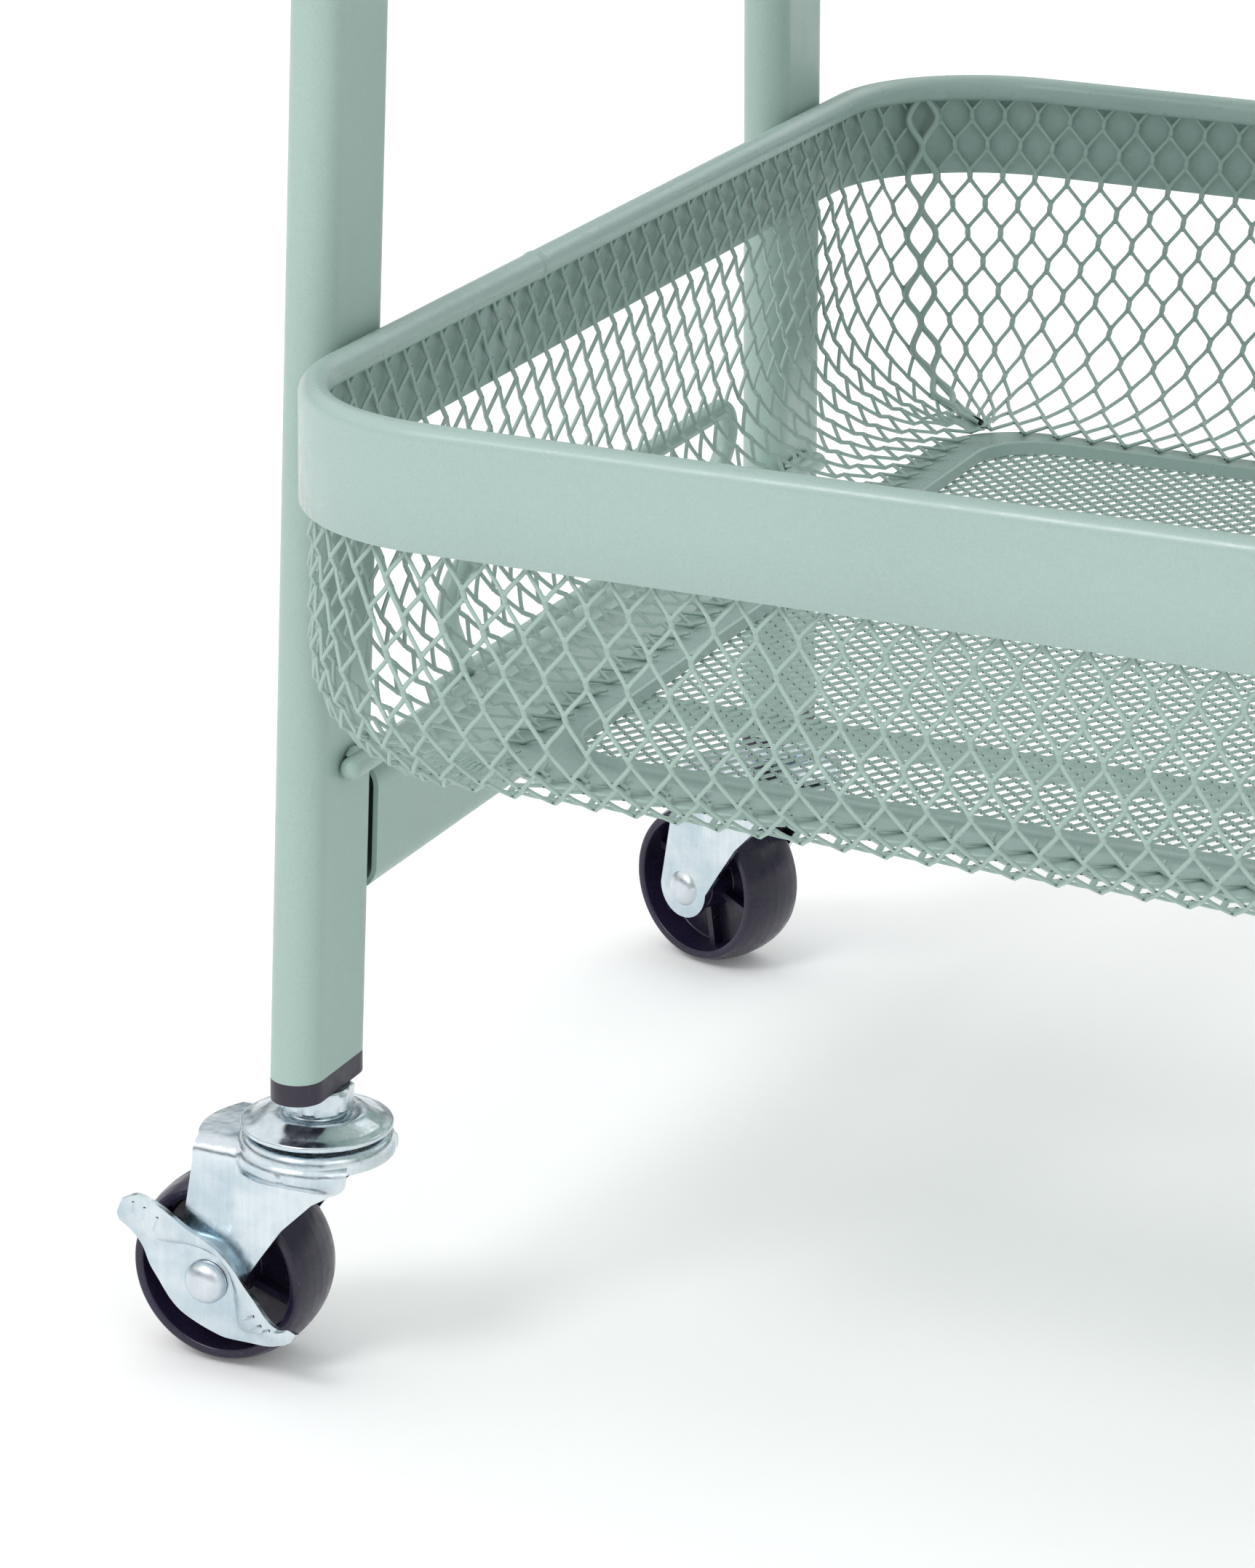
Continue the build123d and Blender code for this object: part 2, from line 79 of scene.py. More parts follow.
def ramp(tree, value, stops):
    """Colours along a value from 0 to 1."""
    node = tree.nodes.new("ShaderNodeValToRGB")
    elements = node.color_ramp.elements
    while len(elements) < len(stops):
        elements.new(0.5)
    for element, (at, colour) in zip(elements, stops):
        element.position = at
        element.color = (*colour, 1)
    tree.links.new(value, node.inputs["Fac"])
    return node.outputs["Color"]


def spread(tree, value, low, high):
    """The middle of a noise, stretched to run from low to high."""
    node = tree.nodes.new("ShaderNodeMapRange")
    node.inputs["From Min"].default_value = NOISE_LOW
    node.inputs["From Max"].default_value = NOISE_HIGH
    node.inputs["To Min"].default_value = low
    node.inputs["To Max"].default_value = high
    tree.links.new(value, node.inputs["Value"])
    return node.outputs["Result"]


def mix(tree, mode, factor, first, second):
    """Two colours mixed by a fixed factor."""
    node = tree.nodes.new("ShaderNodeMix")
    node.data_type = "RGBA"
    node.blend_type = mode
    node.inputs["Factor"].default_value = factor
    tree.links.new(first, node.inputs["A"])
    tree.links.new(second, node.inputs["B"])
    return node.outputs["Result"]


def bump(tree, shader, height, strength, distance):
    """Fine relief on the shader; the distance is in metres."""
    node = tree.nodes.new("ShaderNodeBump")
    node.inputs["Strength"].default_value = strength
    node.inputs["Distance"].default_value = distance
    tree.links.new(height, node.inputs["Height"])
    tree.links.new(node.outputs["Normal"], shader.inputs["Normal"])


def tinted(colour, factor):
    """A colour made lighter or darker."""
    return tuple(min(1.0, channel * factor) for channel in colour)


def grey(value):
    return (value,) * 3


def powder_coat(name, colour, roughness):
    """Satin powder coat: fine orange peel, faint speckle and slow drifts of shade."""
    material, tree, shader, place = new_material(name)
    shades = [(NOISE_LOW, tinted(colour, 0.965)), (NOISE_HIGH, tinted(colour, 1.035))]
    drift = ramp(tree, noise(tree, place, scale=9, detail=3), shades)
    specks = [(0.35, grey(0.90)), (0.62, grey(1.0))]
    speck = ramp(tree, noise(tree, place, scale=2600, detail=1), specks)
    tree.links.new(mix(tree, "MULTIPLY", 0.6, drift, speck), shader.inputs["Base Color"])
    cloud = noise(tree, place, scale=240, detail=3)
    gloss = spread(tree, cloud, roughness - 0.05, roughness + 0.07)
    tree.links.new(gloss, shader.inputs["Roughness"])
    bump(tree, shader, noise(tree, place, scale=750), strength=0.10, distance=0.4 * MM)
    shader.inputs["Specular IOR Level"].default_value = 0.5
    return material


def zinc_plate(name, light, dark, roughness):
    """Bright zinc on pressed steel: bluish, cloudy, with faint rolling lines."""
    material, tree, shader, place = new_material(name)
    shader.inputs["Metallic"].default_value = 1.0
    cloud = noise(tree, place, scale=110, detail=3)
    cloud = ramp(tree, cloud, [(NOISE_LOW, dark), (0.6, light)])
    lines = noise(tree, place, scale=900, stretch=(1, 1, 0.08))
    lines = ramp(tree, lines, [(NOISE_LOW, grey(0.86)), (NOISE_HIGH, grey(1.0))])
    tree.links.new(mix(tree, "MULTIPLY", 0.5, cloud, lines), shader.inputs["Base Color"])
    haze = noise(tree, place, scale=420, detail=4)
    gloss = spread(tree, haze, roughness - 0.08, roughness + 0.12)
    tree.links.new(gloss, shader.inputs["Roughness"])
    bump(tree, shader, noise(tree, place, scale=130), strength=0.30, distance=1.2 * MM)
    return material


def black_plastic(name, colour, roughness, scuff):
    """Moulded plastic with faint flow marks and pale scuffs."""
    material, tree, shader, place = new_material(name)
    flow = noise(tree, place, scale=60, detail=3)
    flow = ramp(tree, flow, [(NOISE_LOW, colour), (0.75, tinted(colour, 1.7))])
    marks = noise(tree, place, scale=1500, detail=5, stretch=(1, 1, 0.35))
    marks = ramp(tree, marks, [(0.66, grey(0)), (0.74, grey(scuff))])
    tree.links.new(mix(tree, "ADD", 1.0, flow, marks), shader.inputs["Base Color"])
    haze = noise(tree, place, scale=300, detail=4)
    gloss = spread(tree, haze, roughness - 0.06, roughness + 0.14)
    tree.links.new(gloss, shader.inputs["Roughness"])
    relief = noise(tree, place, scale=500, detail=3)
    bump(tree, shader, relief, strength=0.08, distance=0.3 * MM)
    return material


def pale_floor(name):
    """The studio floor, all but white, with a little light of its own."""
    material, tree, shader, place = new_material(name)
    tone = noise(tree, place, scale=3)
    tone = ramp(tree, tone, [(NOISE_LOW, grey(0.90)), (NOISE_HIGH, grey(0.93))])
    tree.links.new(tone, shader.inputs["Base Color"])
    shader.inputs["Roughness"].default_value = 0.8
    shader.inputs["Emission Color"].default_value = (1, 1, 1, 1)
    shader.inputs["Emission Strength"].default_value = 0.10
    return material


SAGE = (0.360, 0.487, 0.444)
FRAME_PAINT = powder_coat("frame_paint", SAGE, 0.36)
ROD_PAINT = powder_coat("rod_paint", tinted(SAGE, 0.98), 0.34)
BASKET_PAINT = powder_coat("basket_paint", (0.362, 0.478, 0.445), 0.30)
MESH_PAINT = powder_coat("mesh_paint", (0.350, 0.470, 0.428), 0.34)
CAP_PLASTIC = black_plastic("cap_plastic", (0.016, 0.012, 0.026), 0.36, 0.02)
WHEEL_PLASTIC = black_plastic("wheel_plastic", (0.011, 0.008, 0.024), 0.26, 0.05)
ZINC = zinc_plate("zinc", (0.70, 0.765, 0.80), (0.52, 0.62, 0.68), 0.22)
RIVET_STEEL = zinc_plate("rivet_steel", (0.76, 0.80, 0.83), (0.62, 0.68, 0.73), 0.30)
BALL_STEEL = zinc_plate("ball_steel", (0.75, 0.76, 0.78), (0.60, 0.61, 0.63), 0.20)


# ---- making pieces -----------------------------------------------------------------------
def mesh_from(name, points, quads, material, sharp=None):
    """A smooth mesh of quads from arrays of points and corner numbers.

    An edge that turns by more than `sharp` degrees stays crisp."""
    mesh = bpy.data.meshes.new(name)
    mesh.vertices.add(len(points))
    mesh.vertices.foreach_set("co", np.asarray(points, np.float32).ravel())
    mesh.loops.add(quads.size)
    mesh.loops.foreach_set("vertex_index", quads.astype(np.int32).ravel())
    mesh.polygons.add(len(quads))
    starts = np.arange(0, quads.size, quads.shape[1], dtype=np.int32)
    mesh.polygons.foreach_set("loop_start", starts)
    mesh.update(calc_edges=True)
    mesh.validate()
    mesh.shade_smooth()
    if sharp is not None:
        mesh.set_sharp_from_angle(angle=math.radians(sharp))
    mesh.materials.append(material)
    return mesh


def place_piece(name, mesh, body, nodes=(), matrix=None):
    """Puts a mesh into the scene as a named piece that rides on a body."""
    piece = bpy.data.objects.new(name, mesh)
    bpy.context.scene.collection.objects.link(piece)
    if matrix is not None:
        piece.matrix_world = matrix
    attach(piece, body)
    if nodes:
        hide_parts(*nodes)


def grid_quads(rows, columns, wrap_rows=False, wrap_columns=False):
    """Corner numbers of a grid of points, closed round either way if asked."""
    down = np.arange(rows if wrap_rows else rows - 1)
    across = np.arange(columns if wrap_columns else columns - 1)
    row, column = np.meshgrid(down, across, indexing="ij")
    next_row, next_column = (row + 1) % rows, (column + 1) % columns
    corners = [
        row * columns + column,
        row * columns + next_column,
        next_row * columns + next_column,
        next_row * columns + column,
    ]
    return np.stack(corners, -1).reshape(-1, 4)


def repeated(quads, count, points_each):
    """The same quads for each of many like pieces in one mesh."""
    steps = np.arange(count)[:, None, None] * points_each
    return (quads[None] + steps).reshape(-1, quads.shape[1])


def unit(vectors):
    return vectors / np.linalg.norm(vectors, axis=-1, keepdims=True)


def strands(paths, normals, section, widths=None):
    """Rods along many like paths: (points, quads). A section is (side, normal) pairs,
    and the widths scale it at each step."""
    count, steps, _ = paths.shape
    along = np.gradient(paths, axis=1)
    side = unit(np.cross(normals, along))
    section = np.array(section)
    scale = np.ones(steps) if widths is None else np.array(widths)
    sideways, outward = section[None, None, :, :1], section[None, None, :, 1:]
    offset = side[:, :, None] * sideways + normals[:, :, None] * outward
    points = paths[:, :, None] + offset * scale[None, :, None, None]
    quads = grid_quads(steps, len(section), wrap_columns=True)
    return points.reshape(-1, 3), repeated(quads, count, steps * len(section))


def joined(*parts):
    """Several (points, quads) as one."""
    starts = np.cumsum([0] + [len(points) for points, _ in parts[:-1]])
    points = np.concatenate([points for points, _ in parts])
    quads = np.concatenate([quads + start for (_, quads), start in zip(parts, starts)])
    return points, quads


def lathe(profile, steps, closed=False, lying=False):
    """A profile of (radius, height) turned round the Z axis, or round Y if it is lying.

    A closed profile joins its last point to its first."""
    profile = np.array(profile, float)
    turn = np.linspace(0, 2 * np.pi, steps, endpoint=False)
    radius, height = profile[:, :1], np.repeat(profile[:, 1:], steps, 1)
    points = np.stack([radius * np.cos(turn), radius * np.sin(turn), height], -1).reshape(-1, 3)
    if lying:
        points = points[:, (1, 2, 0)]
    return points, grid_quads(len(profile), steps, closed, True)


def rounded(outline, radius, steps=5):
    """A profile whose inner corners are rounded with short arcs."""
    outline = np.array(outline, float)
    made = [outline[0]]
    for before, corner, after in zip(outline[:-2], outline[1:-1], outline[2:]):
        room = min(np.linalg.norm(before - corner), np.linalg.norm(after - corner))
        reach = min(radius, room / 2.2)
        start = corner + unit(before - corner) * reach
        end = corner + unit(after - corner) * reach
        for t in np.linspace(0, 1, steps):
            made.append((1 - t) ** 2 * start + 2 * t * (1 - t) * corner + t**2 * end)
    made.append(outline[-1])
    return np.array(made)


def slab(grid, thickness):
    """A plate with the grid as its outer face and its thickness behind it."""
    down, across = np.gradient(grid, axis=0), np.gradient(grid, axis=1)
    back = grid - unit(np.cross(down, across)) * thickness
    rows, columns, _ = grid.shape
    front_quads = grid_quads(rows, columns)
    back_quads = front_quads[:, ::-1] + rows * columns
    index = np.arange(rows * columns).reshape(rows, columns)
    rim = np.concatenate([index[0, :-1], index[:-1, -1], index[-1, :0:-1], index[:0:-1, 0]])
    after = np.roll(rim, -1)
    edge_quads = np.stack([rim, rim + rows * columns, after + rows * columns, after], -1)
    points = np.concatenate([grid.reshape(-1, 3), back.reshape(-1, 3)])
    return points, np.concatenate([front_quads, back_quads, edge_quads])


def smooth_step(value, low, high):
    """0 under low, 1 over high, and a soft rise between."""
    part = np.clip((value - low) / (high - low), 0, 1)
    return part * part * (3 - 2 * part)


def smooth_rows(rows, between):
    """Rows of points with more rows between them, on a smooth curve through them all."""
    rows = np.array(rows, float)
    padded = np.concatenate([2 * rows[:1] - rows[1:2], rows, 2 * rows[-1:] - rows[-2:-1]])
    made = []
    for step in range(len(rows) - 1):
        before, start, end, after = padded[step : step + 4]
        for t in np.arange(between) / between:
            bend = 2 * before - 5 * start + 4 * end - after
            twist = 3 * start - before - 3 * end + after
            made.append(start + 0.5 * t * (end - before + t * (bend + t * twist)))
    made.append(rows[-1])
    return np.array(made)


# ---- baskets -----------------------------------------------------------------------------
BAND_LOW, BAND_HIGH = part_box("basket_band_lower")
WALL_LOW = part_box("basket_wall_lower")[0]
RING_LOW, RING_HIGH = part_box("basket_floor_ring_lower")
SHEET_LOW, SHEET_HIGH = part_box("basket_floor_mesh_lower")
TIER_RISE = [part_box(f"basket_band_{tier}")[0].z - BAND_LOW.z for tier in TIERS]

CORNER = 43 * MM  # the outline's corner radius
HALF_X, HALF_Y = BAND_HIGH.x, BAND_HIGH.y
STRAIGHT_X, STRAIGHT_Y = 2 * (HALF_X - CORNER), 2 * (HALF_Y - CORNER)
ARC = CORNER * math.pi / 2
SIDE_LENGTHS = np.array([STRAIGHT_X, ARC, STRAIGHT_Y, ARC] * 2)
ROUND = SIDE_LENGTHS.sum()
REAR_LEFT_CORNER = SIDE_LENGTHS[:5].sum() + ARC / 2

BEAD = 3.2 * MM  # radius of the band's rolled bead
SHEET = 1.0 * MM  # thickness of the band's sheet
EASE = 0.3 * MM  # how far a sheet's cut edges are eased
BAND_JOINT_Y = -44.5 * MM  # where the band's two ends meet, on the left side

WALL_MID = 2.6 * MM  # from the outline in to the middle of the wall's mesh
WALL_CURVE = 26.5 * MM  # radius of the curve under the upright part
UNDER_RING = 13 * MM  # the flat end of the mesh, under the ring
DIAMOND_WIDE = 9.0 * MM
DIAMOND_TALL = 15.4 * MM
BOND = 0.9 * MM  # half the height of a bond, where two strands are one
KNUCKLE_OVER = 1.2 * MM  # how far a bond's lump runs past it, each way
TILT = 0.6 * MM  # how far a strand leans in and out of the wall's surface
OVERLAP_THICK = 1.75  # the overlap's strands, times the others' width
OVERLAP_IN = 1.3 * MM  # the overlap lies that far inside the wall
OVERLAP_APART = [1.6 * MM, 0.3 * MM]  # aside at the top, and from three diamonds down

RING_T = 1.2 * MM
RING_WIDE = 15 * MM
RING_CORNER, OPENING_CORNER = 24 * MM, 17 * MM
FINE_WIDE, FINE_TALL = 4.9 * MM, 5.3 * MM  # a diamond of the floor's mesh
FINE_LEAN = 0.22 * MM


def plan(along):
    """Corner centre and outward direction of the basket's rounded outline, that far round it.

    The front comes first, from the left, then the right, the rear and the left side."""
    along = np.mod(along, ROUND)
    ends = np.cumsum(SIDE_LENGTHS)
    piece = np.minimum(np.searchsorted(ends, along, side="right"), len(ends) - 1)
    part = (along - (ends - SIDE_LENGTHS)[piece]) / SIDE_LENGTHS[piece]
    half_x, half_y = HALF_X - CORNER, HALF_Y - CORNER
    signs = np.array([(-1, -1), (1, -1), (1, 1), (-1, 1)])
    corners = signs * np.array([half_x, half_y])
    quarter, on_arc = piece // 2, piece % 2 == 1
    first, second = corners[quarter], corners[(quarter + 1) % 4]
    centre = first + (second - first) * np.where(on_arc, 1.0, part)[..., None]
    turn = -np.pi / 2 + np.pi / 2 * (quarter + np.where(on_arc, part, 0.0))
    return centre, np.stack([np.cos(turn), np.sin(turn)], -1)


WALL_TOP = BAND_HIGH.z - BEAD
UPRIGHT = WALL_TOP - (WALL_LOW.z + 1.0 * MM + WALL_CURVE)
WALL_END = UPRIGHT + WALL_CURVE * math.pi / 2 + UNDER_RING
ROW = DIAMOND_TALL / 2
ROWS = round(WALL_END / ROW) + 1
COLUMNS = round(ROUND / DIAMOND_WIDE)
COLUMN = ROUND / COLUMNS
ROW_DOWN = WALL_END - (ROWS - 1 - np.arange(ROWS)) * ROW  # counted back from the mesh's end


def wall(along, down, out):
    """Points and outward directions on the mesh wall, which is upright and then curves in.

    `down` is measured along the mesh from its top, and `out` is off its middle surface."""
    centre, direction = plan(along)
    bend = np.clip((down - UPRIGHT) / WALL_CURVE, 0, math.pi / 2)
    flat = np.maximum(down - UPRIGHT - WALL_CURVE * math.pi / 2, 0)
    reach = CORNER - WALL_MID - WALL_CURVE * (1 - np.cos(bend)) - flat + out * np.cos(bend)
    height = WALL_TOP - np.minimum(down, UPRIGHT) - (WALL_CURVE + out) * np.sin(bend)
    points = np.concatenate([centre + direction * reach[..., None], height[..., None]], -1)
    normals = np.concatenate([direction * np.cos(bend)[..., None], -np.sin(bend)[..., None]], -1)
    return points, normals


def hexagon(wide, tall):
    """A strand's section of six corners, with its pointed sides along the wall."""
    corners = [(1, 0), (0.6, tall), (-0.6, tall), (-1, 0), (-0.6, -tall), (0.6, -tall)]
    return wide * np.array(corners)


STRAND = hexagon(0.50 * MM, 0.75)
KNUCKLE = hexagon(0.78 * MM, 0.6)
KNUCKLE_TAPER = (0.4, 0.85, 1, 0.85, 0.4)


def wall_net(first, last):
    """Expanded metal: each strand leaves a bond on its inner face and meets the next outside."""
    column, row = np.meshgrid(np.arange(first, last), np.arange(ROWS), indexing="ij")
    column, row = column.ravel(), row.ravel()
    at = (column + 0.5 * (row % 2)) * COLUMN
    down = ROW_DOWN[row]
    t = np.linspace(0, 1, 5)
    eased = 0.7 * t + 0.3 * smooth_step(t, 0, 1)
    parts = []
    leaves = row < ROWS - 1
    for way in (-1, 1):
        along = at[leaves, None] + way * COLUMN / 2 * eased
        depth = down[leaves, None] + BOND + (ROW - 2 * BOND) * t
        tilt = np.broadcast_to(TILT * (2 * t - 1), depth.shape)
        parts.append(strands(*wall(along, depth, tilt), STRAND))
    t = np.linspace(-1, 1, len(KNUCKLE_TAPER))
    along = np.repeat(at[:, None], len(t), 1)
    depth = down[:, None] + (BOND + KNUCKLE_OVER) * t
    tilt = np.broadcast_to(-TILT * np.clip(1.6 * t, -1, 1), depth.shape)
    parts.append(strands(*wall(along, depth, tilt), KNUCKLE, KNUCKLE_TAPER))
    return joined(*parts)


def overlap_net():
    """Where the mesh's two ends overlap, in the rear left corner: a chain of thicker diamonds
    welded over the others."""
    column = round(REAR_LEFT_CORNER / COLUMN)
    row = np.arange(ROWS)
    steps = np.linspace(0, ROWS - 1, 8 * (ROWS - 1) + 1)
    low = np.floor(steps).astype(int)
    high = np.minimum(low + 1, ROWS - 1)
    eased = smooth_step(steps - low, 0, 1)
    depth = np.interp(steps, row, ROW_DOWN)
    apart = np.interp(depth, [0, 3 * DIAMOND_TALL], OVERLAP_APART)
    inward = np.full_like(depth, -OVERLAP_IN)
    parts = []
    for way in (0.5, -0.5):
        spot = (column + np.where(row % 2 == 1, way, 0.0)) * COLUMN
        along = spot[low] + (spot[high] - spot[low]) * eased
        path, normal = wall((along + apart)[None], depth[None], inward[None])
        parts.append(strands(path, normal, STRAND * OVERLAP_THICK))
    return joined(*parts)


def outline_loop(inset, height, corner=None, samples=18):
    """One closed loop round the basket at an inset and height, in step with all the others."""
    if corner is None:
        corner = CORNER - inset
    loop = []
    half_x, half_y = HALF_X - inset - corner, HALF_Y - inset - corner
    for quarter, (x, y) in enumerate([(1, -1), (1, 1), (-1, 1), (-1, -1)]):
        for turn in np.linspace(0, math.pi / 2, samples):
            angle = -math.pi / 2 + quarter * math.pi / 2 + turn
            point = (x * half_x + corner * math.cos(angle), y * half_y + corner * math.sin(angle))
            loop.append((*point, height))
    return np.array(loop)


def swept_round(loops):
    """A closed section carried round the basket."""
    points = np.stack(loops)
    return points.reshape(-1, 3), grid_quads(len(loops), points.shape[1], True, True)


def band_section():
    """(inset, height) round the band: its flat sheet and the bead rolled over its top edge."""
    low, middle = BAND_LOW.z, BAND_HIGH.z - BEAD
    section = [(0.25 * MM, low), (0.0, low + EASE)]
    section += [(0.0, middle - 9 * MM), (0.0, middle - 2 * MM)]
    for turn in np.radians(np.linspace(180, -75, 22)):
        section.append((BEAD + BEAD * math.cos(turn), middle + BEAD * math.sin(turn)))
    section += [(SHEET + 0.5 * MM, middle - BEAD), (SHEET, middle - BEAD - 0.5 * MM)]
    section += [(SHEET, low + EASE), (SHEET - 0.25 * MM, low)]
    return section


def band_joint():
    """The left side's joint: a collar on the bead and the sheet's end lapped inside the band."""
    collar = [(2.9, -1.3), (3.38, -0.8), (3.42, 0.0), (3.38, 0.8), (2.9, 1.3)]
    points, quads = lathe(np.array(collar) * MM, 24, closed=True, lying=True)
    points = points + np.array([BEAD - HALF_X, BAND_JOINT_Y, BAND_HIGH.z - BEAD])
    outline = [(0, -26), (0.35, -25), (0.35, -4), (0, -4)]
    heights = (BAND_LOW.z + EASE, BAND_HIGH.z - 2 * BEAD)
    lap = [
        (SHEET - HALF_X + thick * MM, BAND_JOINT_Y + back * MM, height)
        for height in heights
        for thick, back in outline
    ]
    lap_quads = grid_quads(len(heights), len(outline), wrap_columns=True)[:, ::-1]
    return (points, quads), (np.array(lap), lap_quads)


def ring_section():
    """(inset, height, corner) round the flat floor ring and the low lip of its opening."""
    low, top, lip = RING_LOW.z, RING_LOW.z + RING_T, RING_HIGH.z
    outer = HALF_X - RING_HIGH.x
    inner = outer + RING_WIDE
    section = [
        (outer, low + EASE, RING_CORNER),
        (outer, top - EASE, RING_CORNER),
        (outer + 0.4 * MM, top, RING_CORNER),
    ]
    for before, height in (
        (3.0 * MM, top),
        (1.8 * MM, top + EASE),
        (1.1 * MM, lip - EASE),
        (0.5 * MM, lip),
        (0.0, lip - 0.4 * MM),
        (0.0, low + EASE),
        (0.4 * MM, low),
    ):
        section.append((inner - before, height, OPENING_CORNER + before))
    return [*section, (outer + 0.4 * MM, low, RING_CORNER)]


def floor_net():
    """The fine expanded metal under the ring."""
    wide, tall = FINE_WIDE, FINE_TALL
    half_x, half_y = SHEET_HIGH.x - 0.5 * MM, SHEET_HIGH.y - 0.5 * MM
    columns, rows = int(2 * half_x / wide), int(4 * half_y / tall)
    column, row = np.meshgrid(np.arange(columns), np.arange(rows), indexing="ij")
    column, row = column.ravel(), row.ravel()
    x = -half_x + (column + 0.25 + 0.5 * (row % 2)) * wide
    y = -half_y + (row + 0.5) * tall / 2
    middle = (SHEET_LOW.z + SHEET_HIGH.z) / 2
    section = MM * np.array([(0.33, 0.0), (0.0, 0.45), (-0.33, 0.0), (0.0, -0.45)])
    parts = []
    for way in (-1, 1):
        start = np.stack([x, y, np.full_like(x, middle - FINE_LEAN)], -1)
        end = start + np.array([way * wide / 2, tall / 2, 2 * FINE_LEAN])
        inside = (np.abs(end[:, 0]) < half_x) & (end[:, 1] < half_y)
        paths = np.stack([start, end], 1)[inside]
        up = np.broadcast_to(np.array([0.0, 0.0, 1.0]), paths.shape)
        parts.append(strands(paths, up, section))
    return joined(*parts)


def build_baskets():
    """One basket's meshes, placed at each tier. The wall's mesh is two pieces, front and rear."""
    nets = {
        "front": wall_net(0, COLUMNS // 2),
        "rear": joined(wall_net(COLUMNS // 2, COLUMNS), overlap_net()),
    }
    meshes = {
        half: mesh_from(f"basket_net_{half}", *net, MESH_PAINT) for half, net in nets.items()
    }
    band = swept_round([outline_loop(inset, height) for inset, height in band_section()])
    band = joined(band, *band_joint())
    band_mesh = mesh_from("basket_band", *band, BASKET_PAINT, 50)
    ring = swept_round([outline_loop(*each) for each in ring_section()])
    ring_mesh = mesh_from("basket_ring", *ring, BASKET_PAINT, 50)
    floor_mesh = mesh_from("basket_floor_net", *floor_net(), MESH_PAINT)
    for tier, rise in zip(TIERS, TIER_RISE):
        up = Matrix.Translation((0, 0, rise))
        for half, mesh in meshes.items():
            nodes = [f"basket_wall_{tier}"]
            place_piece(f"basket_wall_{tier}_{half}", mesh, "frame", nodes, up)
        for name, mesh, slot in (
            ("band", band_mesh, "basket_paint"),
            ("floor_ring", ring_mesh, "basket_paint"),
            ("floor_mesh", floor_mesh, "basket_mesh"),
        ):
            node = f"basket_{name}_{tier}"
            place_piece(f"{node}_made", mesh, "frame", [node], up)


build_baskets()


# ---- welds -------------------------------------------------------------------------------
WELD_R = 1.15 * MM
WELD_FROM, WELD_LONG = 3 * MM, 16 * MM  # from the rod's end along it
WELD_IN, WELD_UP = 1.0 * MM, 2.45 * MM  # off the rod's outer face and its middle
WELD_LUMP = 0.15 * MM


def build_welds():
    """A lumpy fillet of weld over and under each support rod, where it crosses a post."""
    corners = [(1, 0), (0.7, 0.7), (0, 1), (-0.7, 0.7), (-1, 0), (-0.7, -0.7), (0, -1), (0.7, -0.7)]
    section = WELD_R * np.array(corners)
    steps = np.linspace(0, 1, 21)
    blunt = np.sqrt(np.clip(1 - (2 * steps - 1) ** 8, 0.02, 1))
    for side, out in (("left", -1), ("right", 1)):
        parts = []
        for tier in TIERS:
            low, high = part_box(f"support_rod_{side}_{tier}")
            face = high.x if side == "right" else low.x
            middle = (low.z + high.z) / 2
            for end, way in ((low.y, 1), (high.y, -1)):
                for over in (-1, 1):
                    wave = np.sin(steps * 23 + over + 2.3 * way)
                    y = end + way * (WELD_FROM + WELD_LONG * steps)
                    x = np.full_like(y, face - out * WELD_IN)
                    z = middle + over * (WELD_UP + WELD_LUMP * wave)
                    path = np.stack([x, y, z], -1)[None]
                    up = np.broadcast_to(np.array([-float(out), 0.0, 0.0]), path.shape)
                    parts.append(strands(path, up, section, blunt * (0.95 + 0.12 * wave)))
        mesh = mesh_from(f"welds_{side}", *joined(*parts), ROD_PAINT)
        place_piece(f"welds_{side}_made", mesh, "frame")


build_welds()


# ---- casters: millimetres, with the stem on the Z axis and the wheel trailing along +X ------
JOINTS = {joint["name"]: joint for joint in frame["joints"]}
CASTERS = ("front_left", "front_right", "rear_left", "rear_right")
BRAKED = ("front_left", "front_right")
STEM = Vector(JOINTS["swivel_front_left"]["pos_m"])
AXLE = Vector(JOINTS["roll_front_left"]["pos_m"])
TRAIL = (AXLE - STEM).xy.length / MM
AXLE_Z = AXLE.z / MM
LEG_OUT = 11.8  # a leg's outer face, from the middle of the fork
LEG_T = 1.5
LEG_END_R = 8.0
LEG_TOP = 52.2
LEG_BEND = 1.4  # over the legs' top edges
RIVET_OUT = LEG_OUT + 0.05
LEVER_OUT, LEVER_T = 13.6, 1.3
HEAD_R = 17.2
HEX_ACROSS, HEX_TURN = 15.0, 0.3
AXLE_R = 2.8


def caster_place(corner):
    """Where a caster stands and which way it trails."""
    stem = Vector(JOINTS[f"swivel_{corner}"]["pos_m"])
    trail = Vector(JOINTS[f"roll_{corner}"]["pos_m"]) - stem
    turn = math.atan2(trail.y, trail.x)
    return Matrix.Translation((stem.x, stem.y, 0)) @ Matrix.Rotation(turn, 4, "Z")


